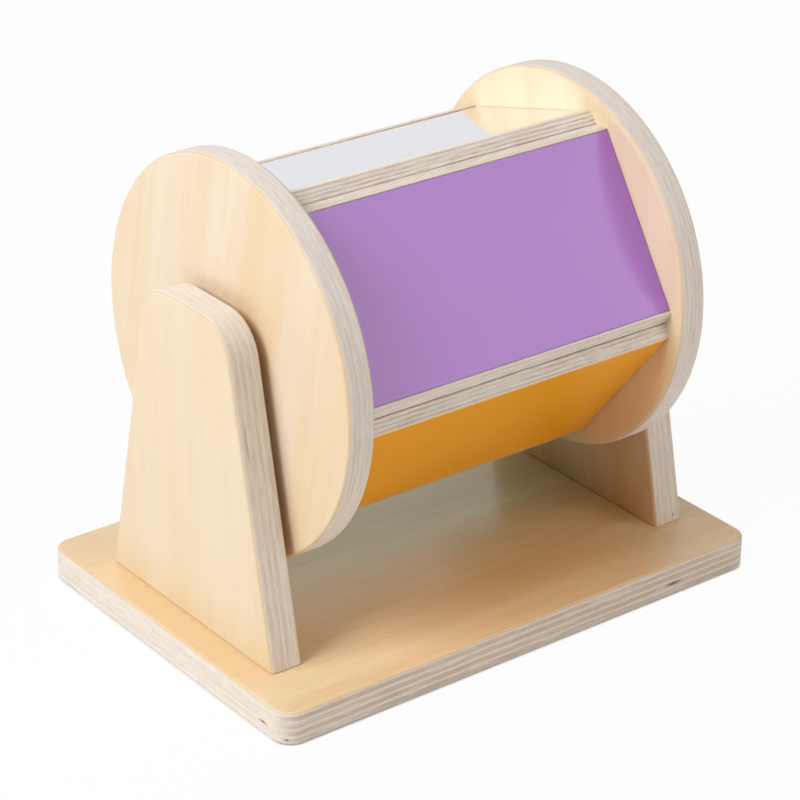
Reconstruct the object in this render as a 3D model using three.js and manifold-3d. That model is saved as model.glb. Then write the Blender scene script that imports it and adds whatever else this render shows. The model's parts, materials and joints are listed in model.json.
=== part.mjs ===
// A colour drum for babies: five plywood staves between two round end discs make a hollow drum that
// spins on a wooden axle between two tapered uprights, which are screwed to a base board from below.
// One stave carries a mirror and the other four carry smooth coloured facings.
// Millimetres, +Z up, the axle along X, the origin on the ground under the middle of the base.

import * as THREE from 'three';
import { mergeVertices } from 'three/addons/utils/BufferGeometryUtils.js';
import Module from 'manifold-3d';

const wasm = await Module();
wasm.setup();

// Plywood
const BASE_THICKNESS = 17.2;
const UPRIGHT_THICKNESS = 17.2;
const DISC_THICKNESS = 14.5;
const STAVE_THICKNESS = 14.5;
const EASED_EDGE = 2;               // radius that softens the edges of the base, uprights and discs

// Stand
const BASE_WIDTH = 200;
const BASE_CORNER = 10;             // radius of the base's corners, seen from above
const BASE_OVERHANG = 16.5;         // base beyond the outer face of each upright
const FOOT_MARGIN = 33;             // base in front of and behind the foot of each upright
const UPRIGHT_TOP = 64;             // width of the upright at its top, before the corners are rounded
const UPRIGHT_CORNER = 22;
const UPRIGHT_ABOVE_AXLE = 32.5;
const AXLE_COVER = 5;               // wood left outside the blind hole that holds the axle

// Drum
const DISC_RADIUS = 96.5;
const DISC_RIM = 3.2;               // disc beyond the corners where the planes of the faces would meet
const DISC_ABOVE_BASE = 33;
const DRUM_LENGTH = 181;            // staves, measured between the discs
const ROUND_OVER = 4;               // radius on the outer edges of each stave
const FIRST_FACE_ANGLE = 74.7;      // where the mirror faces at rest, in degrees up from +Y

// Facings
const LAMINATE = 0.8;
const LAMINATE_MARGIN = 1.1;        // wood left on each side of a laminate's groove
const MIRROR_SHEET = 2;
const MIRROR_MARGIN = 4.2;          // wood left on each side of the mirror's groove
const MIRROR_RECESS = 0.6;          // how far the mirror lies below the wood around it

// Axle and bearings
const AXLE_DIAMETER = 12;
const AXLE_CHAMFER = 1;
const BUSH_WALL = 3;
const FLANGE_WIDTH = 4;             // how far the bush's flange stands out from its barrel
const FLANGE_THICKNESS = 1.5;
const SPACER_THICKNESS = 2.5;

// Dowels that join each stave to the discs
const DOWEL_DIAMETER = 6;
const DOWEL_CHAMFER = 0.8;
const DOWEL_SPACING = 56;
const DOWEL_COVER = 6;              // wood left in the disc behind the dowel's hole
const DOWEL_IN_STAVE = 15;

// Countersunk screws
const SCREW_DIAMETER = 4;
const SCREW_HEAD_DIAMETER = 8;
const SCREW_LENGTH = 40;
const SCREW_TIP = 5;
const SCREW_SINK = 0.5;             // how far the head lies above the underside of the base
const SCREW_SPACING = 80;
const DRIVER_SLOT = { length: 4.4, width: 1, depth: 1.2 };

// Clearances
const FIT = 0.3;                    // glue joints, seats and the gap between neighbouring staves
const RUNNING_GAP = 0.3;            // between what turns and what stands still

// Smoothness of curves: an arc in a sawn outline is drawn with twice as many segments as given here
const DISC_SEGMENTS = 48;
const CORNER_SEGMENTS = 5;
const EDGE_SEGMENTS = 3;
const ROUND_OVER_SEGMENTS = 4;
const AXLE_SEGMENTS = 32;
const DOWEL_SEGMENTS = 12;

// Finishes
const PLYWOOD = { color: 0xf0d9b5, roughness: 0.55, metalness: 0 };
const DOWEL_WOOD = { color: 0xd9b78a, roughness: 0.7, metalness: 0 };
const NYLON = { color: 0xe8e4da, roughness: 0.4, metalness: 0 };
const ZINC = { color: 0xb9bcc0, roughness: 0.35, metalness: 1 };
const FACES = [
  { name: 'mirror', finish: { color: 0xe6e9ec, roughness: 0.03, metalness: 1 }, mirror: true },
  { name: 'purple', finish: { color: 0xae86c8, roughness: 0.3, metalness: 0 } },
  { name: 'orange', finish: { color: 0xd88c26, roughness: 0.3, metalness: 0 } },
  { name: 'green', finish: { color: 0x6fae6a, roughness: 0.3, metalness: 0 } },
  { name: 'blue', finish: { color: 0x5c8fc4, roughness: 0.3, metalness: 0 } },
];

// Places that follow from the sizes above
const AXLE_HEIGHT = BASE_THICKNESS + DISC_ABOVE_BASE + DISC_RADIUS;
const UPRIGHT_FOOT = BASE_WIDTH - 2 * FOOT_MARGIN;
const UPRIGHT_HEIGHT = AXLE_HEIGHT + UPRIGHT_ABOVE_AXLE - BASE_THICKNESS;
const DISC_OUTER_FACE = DRUM_LENGTH / 2 + DISC_THICKNESS;
const DISC_CENTRE = DRUM_LENGTH / 2 + DISC_THICKNESS / 2;
const UPRIGHT_INNER_FACE = DISC_OUTER_FACE + FLANGE_THICKNESS + RUNNING_GAP + SPACER_THICKNESS;
const UPRIGHT_CENTRE = UPRIGHT_INNER_FACE + UPRIGHT_THICKNESS / 2;
const BASE_LENGTH = 2 * (UPRIGHT_INNER_FACE + UPRIGHT_THICKNESS + BASE_OVERHANG);
const AXLE_RADIUS = AXLE_DIAMETER / 2;
const AXLE_SEAT = UPRIGHT_THICKNESS - AXLE_COVER;
const AXLE_LENGTH = 2 * (UPRIGHT_INNER_FACE + AXLE_SEAT - FIT);
const BUSH_BORE = AXLE_RADIUS + RUNNING_GAP;
const BUSH_RADIUS = BUSH_BORE + BUSH_WALL;
const FLANGE_RADIUS = BUSH_RADIUS + FLANGE_WIDTH;
const MITRE = Math.PI / FACES.length;
const FACE_APOTHEM = (DISC_RADIUS - DISC_RIM) * Math.cos(MITRE);
const STAVE_INNER = FACE_APOTHEM - STAVE_THICKNESS;
const ROUND_OVER_CENTRE = FACE_APOTHEM - ROUND_OVER;
const FACE_HALF_WIDTH = (ROUND_OVER_CENTRE * Math.sin(MITRE) - FIT / 2 - ROUND_OVER) / Math.cos(MITRE);
const MIRROR_GROOVE = MIRROR_RECESS + MIRROR_SHEET + FIT;
const LAMINATE_GROOVE = LAMINATE + FIT;
const DOWEL_RADIUS = DOWEL_DIAMETER / 2;
const DOWEL_IN_DISC = DISC_THICKNESS - DOWEL_COVER;
const DOWEL_LENGTH = DOWEL_IN_DISC + DOWEL_IN_STAVE - 2 * FIT;
const DOWEL_APOTHEM = (STAVE_INNER + FACE_APOTHEM - MIRROR_GROOVE) / 2;
const SCREW_RADIUS = SCREW_DIAMETER / 2;
const SCREW_HEAD_RADIUS = SCREW_HEAD_DIAMETER / 2;
const SCREW_HEAD_HEIGHT = SCREW_HEAD_RADIUS - SCREW_RADIUS;

const SIDES = [
  { name: 'left', sign: -1 },
  { name: 'right', sign: 1 },
];
const ENDS = [
  { name: 'front', sign: -1 },
  { name: 'back', sign: 1 },
];

// Turns what is drawn in the XY plane and extruded along Z so that it lies in the YZ plane, along X.
const ACROSS = new THREE.Matrix4().makeBasis(
  new THREE.Vector3(0, 1, 0),
  new THREE.Vector3(0, 0, 1),
  new THREE.Vector3(1, 0, 0),
);

function solidOf(geometry) {
  const bare = geometry.clone();
  bare.deleteAttribute('normal');
  bare.deleteAttribute('uv');
  const welded = mergeVertices(bare);
  const vertProperties = new Float32Array(welded.attributes.position.array);
  const triVerts = new Uint32Array(welded.index.array);
  return new wasm.Manifold(new wasm.Mesh({ numProp: 3, vertProperties, triVerts }));
}

function cut(geometry, tools) {
  let solid = solidOf(geometry);
  for (const tool of tools) {
    solid = solid.subtract(solidOf(tool));
  }
  const { vertProperties, triVerts } = solid.getMesh();
  const result = new THREE.BufferGeometry();
  result.setAttribute('position', new THREE.BufferAttribute(vertProperties, 3));
  result.setIndex(new THREE.BufferAttribute(triVerts, 1));
  result.computeVertexNormals();
  return result;
}

function piece(name, geometry, finish) {
  const mesh = new THREE.Mesh(geometry, new THREE.MeshStandardMaterial(finish));
  mesh.name = name;
  return mesh;
}

// A board sawn to an outline, with its edges eased on both faces and its middle plane at zero.
function board(outline, thickness, curveSegments) {
  const geometry = new THREE.ExtrudeGeometry(outline, {
    depth: thickness - 2 * EASED_EDGE,
    bevelThickness: EASED_EDGE,
    bevelSize: EASED_EDGE,
    bevelOffset: -EASED_EDGE,
    bevelSegments: EDGE_SEGMENTS,
    curveSegments,
  });
  return geometry.translate(0, 0, EASED_EDGE - thickness / 2);
}

// A round rod along X between two places, with chamfered ends.
function rod(radius, length, chamfer, segments) {
  const half = length / 2;
  const profile = [
    new THREE.Vector2(0, -half),
    new THREE.Vector2(radius - chamfer, -half),
    new THREE.Vector2(radius, chamfer - half),
    new THREE.Vector2(radius, half - chamfer),
    new THREE.Vector2(radius - chamfer, half),
    new THREE.Vector2(0, half),
  ];
  return new THREE.LatheGeometry(profile, segments).rotateZ(-Math.PI / 2);
}

// A drill along X whose hole starts at one place and ends at another.
function drillAlongX(radius, from, to, segments) {
  const drill = new THREE.CylinderGeometry(radius, radius, Math.abs(to - from), segments);
  return drill.rotateZ(-Math.PI / 2).translate((from + to) / 2, 0, 0);
}

// Base board with clearance holes for the screws, countersunk from below
function baseOutline() {
  const x = BASE_LENGTH / 2;
  const y = BASE_WIDTH / 2;
  const outline = new THREE.Shape();
  outline.absarc(x - BASE_CORNER, y - BASE_CORNER, BASE_CORNER, 0, Math.PI / 2);
  outline.absarc(BASE_CORNER - x, y - BASE_CORNER, BASE_CORNER, Math.PI / 2, Math.PI);
  outline.absarc(BASE_CORNER - x, BASE_CORNER - y, BASE_CORNER, Math.PI, 1.5 * Math.PI);
  outline.absarc(x - BASE_CORNER, BASE_CORNER - y, BASE_CORNER, 1.5 * Math.PI, 2 * Math.PI);
  return outline;
}

function screwHoles(x, y) {
  const past = 1;
  const through = BASE_THICKNESS + 2 * past;
  const clearance = new THREE.CylinderGeometry(
    SCREW_RADIUS + FIT, SCREW_RADIUS + FIT, through, DOWEL_SEGMENTS,
  );
  clearance.rotateX(Math.PI / 2).translate(x, y, BASE_THICKNESS / 2);
  const mouth = SCREW_HEAD_RADIUS + SCREW_SINK + FIT;
  const sinkHeight = mouth - SCREW_RADIUS + past;
  const sink = new THREE.CylinderGeometry(SCREW_RADIUS, mouth + past, sinkHeight, DOWEL_SEGMENTS);
  sink.rotateX(Math.PI / 2).translate(x, y, sinkHeight / 2 - past);
  return [clearance, sink];
}

function baseBoard() {
  const blank = board(baseOutline(), BASE_THICKNESS, CORNER_SEGMENTS).translate(0, 0, BASE_THICKNESS / 2);
  const holes = SIDES.flatMap((side) => ENDS.flatMap((end) => (
    screwHoles(side.sign * UPRIGHT_CENTRE, end.sign * SCREW_SPACING / 2)
  )));
  return cut(blank, holes);
}

// Tapered upright with round shoulders, a square-cut foot and a blind hole for the axle
function uprightOutline(below) {
  const slope = (UPRIGHT_FOOT - UPRIGHT_TOP) / 2 / UPRIGHT_HEIGHT;
  const foot = UPRIGHT_FOOT / 2 + slope * below;
  const shoulder = UPRIGHT_TOP / 2;
  const lean = Math.atan(slope);
  const turn = Math.PI / 2 - lean;
  const radius = Math.min(UPRIGHT_CORNER, (shoulder - EASED_EDGE) / Math.tan(turn / 2));
  const centreY = shoulder - radius * Math.tan(turn / 2);
  const centreZ = UPRIGHT_HEIGHT - radius;
  const outline = new THREE.Shape();
  outline.moveTo(-foot, -below);
  outline.lineTo(foot, -below);
  outline.absarc(centreY, centreZ, radius, lean, Math.PI / 2);
  outline.absarc(-centreY, centreZ, radius, Math.PI / 2, Math.PI - lean);
  outline.closePath();
  return outline;
}

function upright(inward) {
  const offcut = 3 * EASED_EDGE;
  const blank = board(uprightOutline(offcut), UPRIGHT_THICKNESS, CORNER_SEGMENTS).applyMatrix4(ACROSS);
  const sawnOff = new THREE.BoxGeometry(2 * UPRIGHT_THICKNESS, 2 * UPRIGHT_FOOT, 2 * offcut);
  sawnOff.translate(0, 0, -offcut);
  const innerFace = inward * UPRIGHT_THICKNESS / 2;
  const axleHole = drillAlongX(AXLE_RADIUS + FIT, inward * (AXLE_COVER - UPRIGHT_THICKNESS / 2),
    innerFace + inward, AXLE_SEGMENTS);
  axleHole.translate(0, 0, UPRIGHT_HEIGHT - UPRIGHT_ABOVE_AXLE);
  const pilotDepth = SCREW_SINK + SCREW_LENGTH - BASE_THICKNESS + FIT;
  const pilots = ENDS.map((end) => (
    new THREE.CylinderGeometry(SCREW_RADIUS + FIT, SCREW_RADIUS + FIT, 2 * pilotDepth, DOWEL_SEGMENTS)
      .rotateX(Math.PI / 2)
      .translate(0, end.sign * SCREW_SPACING / 2, 0)
  ));
  return cut(blank, [sawnOff, axleHole, ...pilots]);
}

// Countersunk screw with a cross slot, head down
function screw() {
  const profile = [
    new THREE.Vector2(0, 0),
    new THREE.Vector2(SCREW_HEAD_RADIUS, 0),
    new THREE.Vector2(SCREW_RADIUS, SCREW_HEAD_HEIGHT),
    new THREE.Vector2(SCREW_RADIUS, SCREW_LENGTH - SCREW_TIP),
    new THREE.Vector2(SCREW_RADIUS / 8, SCREW_LENGTH),
    new THREE.Vector2(0, SCREW_LENGTH),
  ];
  const blank = new THREE.LatheGeometry(profile, DOWEL_SEGMENTS).rotateX(Math.PI / 2);
  const { length, width, depth } = DRIVER_SLOT;
  const slots = [
    new THREE.BoxGeometry(length, width, 2 * depth),
    new THREE.BoxGeometry(width, length, 2 * depth),
  ];
  return cut(blank, slots);
}

// Flanged bush pressed into the disc, its flange outside
function bush(outward) {
  const profile = [
    new THREE.Vector2(BUSH_BORE, -DISC_THICKNESS / 2),
    new THREE.Vector2(BUSH_RADIUS, -DISC_THICKNESS / 2),
    new THREE.Vector2(BUSH_RADIUS, DISC_THICKNESS / 2),
    new THREE.Vector2(FLANGE_RADIUS, DISC_THICKNESS / 2),
    new THREE.Vector2(FLANGE_RADIUS, DISC_THICKNESS / 2 + FLANGE_THICKNESS),
    new THREE.Vector2(BUSH_BORE, DISC_THICKNESS / 2 + FLANGE_THICKNESS),
    new THREE.Vector2(BUSH_BORE, -DISC_THICKNESS / 2),
  ];
  return new THREE.LatheGeometry(profile, AXLE_SEGMENTS).rotateZ(-outward * Math.PI / 2);
}

// Washer that keeps the drum away from the upright
function spacer() {
  const half = SPACER_THICKNESS / 2;
  const profile = [
    new THREE.Vector2(AXLE_RADIUS + FIT, -half),
    new THREE.Vector2(FLANGE_RADIUS, -half),
    new THREE.Vector2(FLANGE_RADIUS, half),
    new THREE.Vector2(AXLE_RADIUS + FIT, half),
    new THREE.Vector2(AXLE_RADIUS + FIT, -half),
  ];
  return new THREE.LatheGeometry(profile, AXLE_SEGMENTS).rotateZ(-Math.PI / 2);
}

// The angle about X that turns a stave drawn facing +Z to its place in the drum
function staveTurn(index) {
  return THREE.MathUtils.degToRad(FIRST_FACE_ANGLE - 90) + index * 2 * MITRE;
}

// End disc with a bore for its bush and blind dowel holes in its inner face
function disc(inward) {
  const outline = new THREE.Shape();
  outline.absarc(0, 0, DISC_RADIUS, 0, 2 * Math.PI);
  const blank = board(outline, DISC_THICKNESS, DISC_SEGMENTS).applyMatrix4(ACROSS);
  const bore = drillAlongX(BUSH_RADIUS + FIT, -DISC_THICKNESS, DISC_THICKNESS, AXLE_SEGMENTS);
  const innerFace = inward * DISC_THICKNESS / 2;
  const dowelHoles = FACES.flatMap((face, index) => ENDS.map((end) => (
    drillAlongX(DOWEL_RADIUS + FIT, innerFace - inward * DOWEL_IN_DISC, innerFace + inward, DOWEL_SEGMENTS)
      .translate(0, end.sign * DOWEL_SPACING / 2, DOWEL_APOTHEM)
      .rotateX(staveTurn(index))
  )));
  return cut(blank, [bore, ...dowelHoles]);
}

// Stave drawn facing +Z: mitred on both sides, rounded over on its outer edges, grooved for its facing
function stave(grooveHalfWidth, grooveDepth) {
  const innerHalfWidth = (STAVE_INNER * Math.sin(MITRE) - FIT / 2) / Math.cos(MITRE);
  const outline = new THREE.Shape();
  outline.moveTo(-innerHalfWidth, STAVE_INNER);
  outline.lineTo(innerHalfWidth, STAVE_INNER);
  outline.absarc(FACE_HALF_WIDTH, ROUND_OVER_CENTRE, ROUND_OVER, -MITRE, Math.PI / 2);
  outline.lineTo(grooveHalfWidth, FACE_APOTHEM);
  outline.lineTo(grooveHalfWidth, FACE_APOTHEM - grooveDepth);
  outline.lineTo(-grooveHalfWidth, FACE_APOTHEM - grooveDepth);
  outline.lineTo(-grooveHalfWidth, FACE_APOTHEM);
  outline.absarc(-FACE_HALF_WIDTH, ROUND_OVER_CENTRE, ROUND_OVER, Math.PI / 2, Math.PI + MITRE);
  outline.closePath();
  const blank = new THREE.ExtrudeGeometry(outline, {
    depth: DRUM_LENGTH,
    bevelEnabled: false,
    curveSegments: ROUND_OVER_SEGMENTS,
  });
  blank.translate(0, 0, -DRUM_LENGTH / 2).applyMatrix4(ACROSS);
  const end = DRUM_LENGTH / 2;
  const dowelHoles = SIDES.flatMap((side) => ENDS.map((edge) => (
    drillAlongX(DOWEL_RADIUS + FIT, side.sign * (end - DOWEL_IN_STAVE), side.sign * (end + 1), DOWEL_SEGMENTS)
      .translate(0, edge.sign * DOWEL_SPACING / 2, DOWEL_APOTHEM)
  )));
  return cut(blank, dowelHoles);
}

// Thin sheet that lies in a stave's groove, drawn facing +Z
function facing(grooveHalfWidth, thickness, top) {
  const sheet = new THREE.BoxGeometry(DRUM_LENGTH - 2 * FIT, 2 * (grooveHalfWidth - FIT), thickness);
  return sheet.translate(0, 0, top - thickness / 2);
}

// The stand: base, uprights, screws, axle and spacers
const stand = new THREE.Group();
stand.add(piece('base_board', baseBoard(), PLYWOOD));
for (const side of SIDES) {
  const post = piece(`${side.name}_upright`, upright(-side.sign), PLYWOOD);
  post.position.set(side.sign * UPRIGHT_CENTRE, 0, BASE_THICKNESS);
  stand.add(post);
  for (const end of ENDS) {
    const fixing = piece(`${side.name}_${end.name}_screw`, screw(), ZINC);
    fixing.position.set(side.sign * UPRIGHT_CENTRE, end.sign * SCREW_SPACING / 2, SCREW_SINK);
    stand.add(fixing);
  }
  const washer = piece(`${side.name}_spacer`, spacer(), NYLON);
  washer.position.set(side.sign * (UPRIGHT_INNER_FACE - SPACER_THICKNESS / 2), 0, AXLE_HEIGHT);
  stand.add(washer);
}
const axle = piece('axle', rod(AXLE_RADIUS, AXLE_LENGTH, AXLE_CHAMFER, AXLE_SEGMENTS), DOWEL_WOOD);
axle.position.set(0, 0, AXLE_HEIGHT);
stand.add(axle);

// The drum: discs with their bushes, then each stave with its facing and dowels
const drum = new THREE.Group();
drum.position.set(0, 0, AXLE_HEIGHT);
for (const side of SIDES) {
  const end = piece(`${side.name}_disc`, disc(-side.sign), PLYWOOD);
  const bearing = piece(`${side.name}_bush`, bush(side.sign), NYLON);
  end.position.x = side.sign * DISC_CENTRE;
  bearing.position.x = side.sign * DISC_CENTRE;
  drum.add(end, bearing);
}
FACES.forEach((face, index) => {
  const panel = new THREE.Group();
  panel.rotation.x = staveTurn(index);
  const grooveHalfWidth = FACE_HALF_WIDTH - (face.mirror ? MIRROR_MARGIN : LAMINATE_MARGIN);
  const grooveDepth = face.mirror ? MIRROR_GROOVE : LAMINATE_GROOVE;
  const thickness = face.mirror ? MIRROR_SHEET : LAMINATE;
  const top = face.mirror ? FACE_APOTHEM - MIRROR_RECESS : FACE_APOTHEM;
  panel.add(piece(`${face.name}_stave`, stave(grooveHalfWidth, grooveDepth), PLYWOOD));
  const sheetName = face.mirror ? 'mirror_sheet' : `${face.name}_facing`;
  panel.add(piece(sheetName, facing(grooveHalfWidth, thickness, top), face.finish));
  for (const side of SIDES) {
    for (const edge of ENDS) {
      const pinShape = rod(DOWEL_RADIUS, DOWEL_LENGTH, DOWEL_CHAMFER, DOWEL_SEGMENTS);
      const pin = piece(`${face.name}_${side.name}_${edge.name}_dowel`, pinShape, DOWEL_WOOD);
      const middle = DRUM_LENGTH / 2 + (DOWEL_IN_DISC - DOWEL_IN_STAVE) / 2;
      pin.position.set(side.sign * middle, edge.sign * DOWEL_SPACING / 2, DOWEL_APOTHEM);
      panel.add(pin);
    }
  }
  drum.add(panel);
});

const colourDrum = new THREE.Group();
colourDrum.add(stand, drum);

export default colourDrum;
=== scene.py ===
import json
import math

import bmesh
import bpy
from mathutils import Matrix, Vector


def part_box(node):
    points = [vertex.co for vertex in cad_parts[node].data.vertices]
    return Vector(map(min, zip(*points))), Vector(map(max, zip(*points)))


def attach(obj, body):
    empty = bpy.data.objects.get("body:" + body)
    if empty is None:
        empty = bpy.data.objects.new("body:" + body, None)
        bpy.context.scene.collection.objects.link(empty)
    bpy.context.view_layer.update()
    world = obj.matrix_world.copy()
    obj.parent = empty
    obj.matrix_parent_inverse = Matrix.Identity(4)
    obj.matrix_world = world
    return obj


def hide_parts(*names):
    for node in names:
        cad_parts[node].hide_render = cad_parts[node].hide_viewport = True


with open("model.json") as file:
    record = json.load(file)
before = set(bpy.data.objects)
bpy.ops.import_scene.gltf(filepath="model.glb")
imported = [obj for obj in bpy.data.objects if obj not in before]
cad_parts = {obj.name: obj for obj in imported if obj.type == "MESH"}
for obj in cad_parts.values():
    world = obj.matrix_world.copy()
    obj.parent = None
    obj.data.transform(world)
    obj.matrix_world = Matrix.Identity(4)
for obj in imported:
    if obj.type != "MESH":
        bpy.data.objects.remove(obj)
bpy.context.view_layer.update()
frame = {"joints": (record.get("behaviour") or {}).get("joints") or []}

# Base board
# A rectangle of birch plywood with rounded corners that everything else stands on. It is sawn to size, its
# edges are eased with a router and sanded, it is clear-lacquered, and it is drilled for screws from below.

MM = 0.001
EASED_EDGE = 2 * MM
EASE_STEPS = 5
EDGE_BAND = 4 * MM                  # flat strip of the face next to an eased edge
CORNER_STEPS = 12
HOLE_STEPS = 24
BASE_CORNER = 10 * MM
QUARTERS = ((1, 1), (-1, 1), (-1, -1), (1, -1))
SCREW_HOLE = 2.3 * MM
SCREW_SINK = 4.8 * MM
SCREW_SPACING = 80 * MM

base_low, base_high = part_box("base_board")
base_thickness = base_high.z - base_low.z


def rounded_outline(corners, radii, steps):
    """An outline, counter-clockwise, as points and the directions that they face. Inner corners stay square."""
    outline = []
    for i, (corner, radius) in enumerate(zip(corners, radii)):
        coming = (corner - corners[i - 1]).normalized()
        going = (corners[(i + 1) % len(corners)] - corner).normalized()
        turn = math.acos(coming.dot(going))
        facing = Vector((coming.y, -coming.x))
        centre = corner - coming * radius * math.tan(turn / 2) - facing * radius
        start = math.atan2(facing.y, facing.x)
        for k in range(steps + 1 if radius else 1):
            angle = start + turn * k / steps
            facing = Vector((math.cos(angle), math.sin(angle)))
            outline.append((centre + facing * radius, facing))
    return outline


def circle(centre, radius, steps):
    turns = [2 * math.pi * k / steps for k in range(steps)]
    facings = [Vector((math.cos(turn), math.sin(turn))) for turn in turns]
    return [(centre + facing * radius, facing) for facing in facings]


def ring(bm, outline, inset, height):
    return [bm.verts.new((*(point - facing * inset), height)) for point, facing in outline]


def wall(bm, rings):
    for lower, upper in zip(rings, rings[1:]):
        for i in range(len(lower)):
            bm.faces.new((lower[i - 1], lower[i], upper[i], upper[i - 1]))


def close(bm, rings):
    """Fills the flat face inside the first ring, with the other rings as holes in it."""
    edges = []
    for verts in rings:
        for i in range(len(verts)):
            pair = (verts[i - 1], verts[i])
            edges.append(bm.edges.get(pair) or bm.edges.new(pair))
    bmesh.ops.triangle_fill(bm, use_beauty=True, use_dissolve=False, edges=edges)


def drill(bm, centre, stages):
    """The wall of a hole given as radii and heights from its mouth inwards. Returns its first and last ring."""
    rings = [ring(bm, circle(centre, radius, HOLE_STEPS), 0, height) for radius, height in stages]
    wall(bm, rings)
    return rings[0], rings[-1]


def sawn(outline, low, high, eased, band, holes):
    """A piece sawn to an outline, from one height to another, with eased edges and drilled holes."""
    bm = bmesh.new()
    profile = [(0, low), (0, high)]
    if eased:
        angles = [math.pi / 2 * k / EASE_STEPS for k in range(EASE_STEPS + 1)]
        lower = [(eased * (1 - math.sin(a)), low + eased * (1 - math.cos(a))) for a in angles]
        upper = [(inset, low + high - height) for inset, height in reversed(lower)]
        profile = [*lower, *upper]
        if band:
            profile = [(eased + band, low), *profile, (eased + band, high)]
    rings = [ring(bm, outline, inset, height) for inset, height in profile]
    wall(bm, rings)
    faces = {low: [rings[0]], high: [rings[-1]]}
    for centre, stages in holes:
        first, last = drill(bm, centre, stages)
        faces[stages[0][1]].append(first)
        if stages[-1][1] in faces:
            faces[stages[-1][1]].append(last)
        else:
            bm.faces.new(last)
    for mouths in faces.values():
        close(bm, mouths)
    return bm


SHARP = math.radians(35)


def finished(bm, name, place, grain, material, body, node):
    """Puts a piece in its place, notes where it lies in its sheet or blank, and gives it its finish."""
    bmesh.ops.recalc_face_normals(bm, faces=bm.faces)
    bm.normal_update()
    at = bm.verts.layers.float_vector.new("grain")
    way = bm.verts.layers.float_vector.new("way")
    for vert in bm.verts:
        vert[at] = grain @ vert.co
        facing = (grain.to_3x3() @ vert.normal).normalized()
        vert[way] = Vector([part ** 2 for part in facing])
    bm.transform(place)
    mesh = bpy.data.meshes.new(name)
    bm.to_mesh(mesh)
    bm.free()
    mesh.shade_smooth()
    mesh.set_sharp_from_angle(angle=SHARP)
    mesh.materials.append(material)
    piece = bpy.data.objects.new(name, mesh)
    bpy.context.scene.collection.objects.link(piece)
    shading = piece.modifiers.new("even_shading", "WEIGHTED_NORMAL")
    shading.weight = 100
    shading.keep_sharp = True
    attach(piece, body)
    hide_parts(node)


class Tone:
    """One output of a shader node. Arithmetic on it adds Math nodes, and add() makes any other node."""

    def __init__(self, socket):
        self.socket = socket
        self.tree = socket.id_data

    def add(self, kind, settings=None, inputs=None, output=0):
        node = self.tree.nodes.new(kind)
        for name, value in (settings or {}).items():
            setattr(node, name, value)
        for name, value in (inputs or {}).items():
            if isinstance(value, Tone):
                self.tree.links.new(value.socket, node.inputs[name])
            else:
                node.inputs[name].default_value = value
        return Tone(node.outputs[output])

    def math(self, operation, first, second):
        return self.add("ShaderNodeMath", {"operation": operation}, {0: first, 1: second})

    def __add__(self, other):
        return self.math("ADD", self, other)

    def __sub__(self, other):
        return self.math("SUBTRACT", self, other)

    def __rsub__(self, other):
        return self.math("SUBTRACT", other, self)

    def __mul__(self, other):
        return self.math("MULTIPLY", self, other)

    def __abs__(self):
        return self.math("ABSOLUTE", self, 0)

    __radd__ = __add__
    __rmul__ = __mul__

    def part(self, axis):
        return self.add("ShaderNodeSeparateXYZ", None, {0: self}, axis)

    def step(self, low, high):
        """0 below low and 1 above high, or the other way round where low is the larger."""
        inputs = {"Value": self, "From Min": low, "From Max": high}
        return self.add("ShaderNodeMapRange", {"interpolation_type": "SMOOTHSTEP"}, inputs)

    def mix(self, none, full):
        return self.add("ShaderNodeMix", {"data_type": "RGBA"}, {0: self, 6: none, 7: full}, 2)

    def noise(self, stretch, detail, waver=0):
        """Noise at this place, with a pattern that changes once in 1 / stretch millimetres along each axis."""
        at = self.add("ShaderNodeVectorMath", {"operation": "MULTIPLY"}, {0: self, 1: stretch})
        inputs = {"Vector": at, "Scale": 1, "Detail": detail, "Distortion": waver}
        return self.add("ShaderNodeTexNoise", None, inputs)

    def bump(self, height):
        inputs = {"Height": self, "Strength": 1, "Distance": height}
        return self.add("ShaderNodeBump", None, inputs)


def new_finish(name):
    """A new material, with the place of a point in its sheet and the way that it faces there."""
    material = bpy.data.materials.new(name)
    material.use_nodes = True
    nodes = material.node_tree.nodes
    found = []
    for attribute in ("grain", "way"):
        node = nodes.new("ShaderNodeAttribute")
        node.attribute_name = attribute
        found.append(Tone(node.outputs["Vector"]))
    return material, *found


def set_surface(material, sockets):
    shader = material.node_tree.nodes["Principled BSDF"]
    for name, value in sockets.items():
        if isinstance(value, Tone):
            material.node_tree.links.new(value.socket, shader.inputs[name])
        else:
            shader.inputs[name].default_value = value


LONG_EDGE = (0.835, 0.765, 0.68, 1)
END_EDGE = (0.62, 0.495, 0.40, 1)
GRAIN_LINE = (0.52, 0.30, 0.14, 1)
SKIN_LINE = (0.60, 0.39, 0.22, 1)
# Painted shade: dark brown spots that stand in for the shade inside small voids, gaps in the plies
VOID_SHADE = (0.20, 0.11, 0.08, 1)
BASE_PLIES = (1.9, 0.38, 0.9)       # half the distance between like plies, share of the pale ones, face veneer
PLY_BLUR = 0.17                     # how softly one ply passes into the next, as a share of that half distance
EDGE_ROUGHNESS = 0.55
FACE_SHINE = 0.33                   # how much smoother the lacquered face is than the sawn edge
WOOD_RELIEF = 0.012 * MM
SKIN_LINE_SHARE = 0.35

# Patterns in the wood, as changes in a millimetre along the grain, across it and through the sheet
PLY_BEND = (0.02, 0.02, 0)
PLY_RIPPLE = (0.15, 0.15, 0.5)
PLY_WEAR = (0.03, 0.03, 0.25)
LONG_STREAK = (0.012, 0.012, 1.3)
SHORT_STREAK = (0.1, 0.1, 1.7)
PORE = (0.5, 0.5, 1.6)
BROAD_FIGURE = (0.005, 0.03, 0.02)
NARROW_FIGURE = (0.008, 0.15, 0.05)
FINE_FIGURE = (0.05, 1.8, 0.3)
DRAWN_LINE = (0.025, 0.9, 0.2)


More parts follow.
